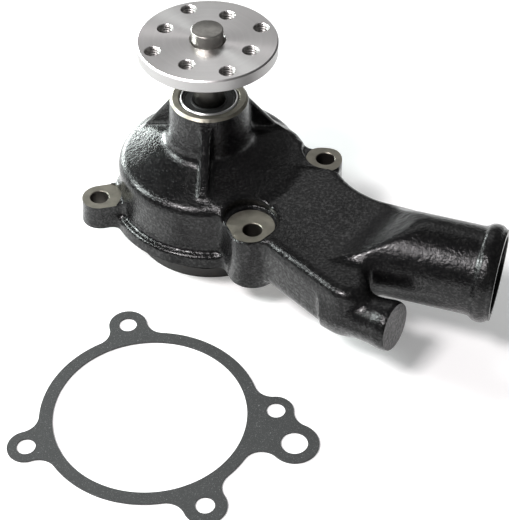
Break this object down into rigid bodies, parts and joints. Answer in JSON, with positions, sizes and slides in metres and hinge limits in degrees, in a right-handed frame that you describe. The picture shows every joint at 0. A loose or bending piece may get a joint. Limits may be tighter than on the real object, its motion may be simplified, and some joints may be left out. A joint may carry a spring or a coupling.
{
  "type": "water pump",
  "caption": "Belt-driven car engine water pump: black cast housing with a side hose neck, drilled steel pulley hub, sealed shaft bearing, face seal and impeller, with its loose gasket.",
  "frame": {"origin": "middle of the footprint of pump and gasket, on the surface that they stand on", "axes": "+Z along the pump shaft from impeller to pulley hub; +X along the hose neck, out of the pump; the gasket lies on the -Y side"},
  "size_m": [0.2214, 0.2532, 0.1302],
  "materials": {
    "black_enamel": "glossy black enamel over a sand-cast iron surface; seats and faces are bare machined iron",
    "turned_steel": "fine turned face with bright chamfers",
    "ground_steel": "ground, slightly browned",
    "bearing_steel": "polished bearing steel",
    "plated_steel": "plain plated steel",
    "cast_iron": "bare sand-cast iron with a machined rim",
    "black_rubber": "moulded matt rubber",
    "cage_polymer": "moulded polyamide",
    "drawn_brass": "drawn, slightly dull",
    "seal_carbon": "lapped seal carbon",
    "seal_ceramic": "lapped white ceramic",
    "gasket_paper": "dark grey fibre gasket sheet with light flecks"
  },
  "bodies": {
    "pump_housing": {"housing": "black_enamel", "bearing_outer_race": "bearing_steel", "bearing_seal_front": "black_rubber", "bearing_seal_rear": "black_rubber", "seal_case": "drawn_brass", "seal_bellows": "black_rubber", "seal_spring": "plated_steel", "seal_carbon_ring": "seal_carbon"},
    "rotor": {"pump_shaft": "ground_steel", "hub_flange": "turned_steel", "slinger": "plated_steel", "seal_seat_ring": "seal_ceramic", "seal_seat_cup": "black_rubber", "impeller": "cast_iron"},
    "ball_row": {"ball_cage": "cage_polymer", "bearing_ball_1": "bearing_steel", "bearing_ball_2": "bearing_steel", "bearing_ball_3": "bearing_steel", "bearing_ball_4": "bearing_steel", "bearing_ball_5": "bearing_steel", "bearing_ball_6": "bearing_steel", "bearing_ball_7": "bearing_steel", "bearing_ball_8": "bearing_steel"},
    "roller_row": {"roller_cage": "cage_polymer", "bearing_roller_1": "bearing_steel", "bearing_roller_2": "bearing_steel", "bearing_roller_3": "bearing_steel", "bearing_roller_4": "bearing_steel", "bearing_roller_5": "bearing_steel", "bearing_roller_6": "bearing_steel", "bearing_roller_7": "bearing_steel", "bearing_roller_8": "bearing_steel"},
    "gasket": {"gasket": "gasket_paper"}
  },
  "joints": [
    {"name": "shaft_spin", "type": "hinge", "parent": "pump_housing", "child": "rotor", "pos_m": [-0.05033, 0.06349, 0.0775], "axis": [0, 0, 1], "continuous": true},
    {"name": "ball_row_spin", "type": "hinge", "parent": "pump_housing", "child": "ball_row", "pos_m": [-0.05033, 0.06349, 0.0775], "axis": [0, 0, 1], "continuous": true},
    {"name": "roller_row_spin", "type": "hinge", "parent": "pump_housing", "child": "roller_row", "pos_m": [-0.05033, 0.06349, 0.061], "axis": [0, 0, 1], "continuous": true},
    {"name": "gasket_lift", "type": "slide", "parent": "pump_housing", "child": "gasket", "axis": [0, 0, 1], "range_m": [0, 0.05]}
  ],
  "couplings": [
    {"joint": "ball_row_spin", "follows": "shaft_spin", "ratio": 0.3725},
    {"joint": "roller_row_spin", "follows": "shaft_spin", "ratio": 0.391}
  ]
}
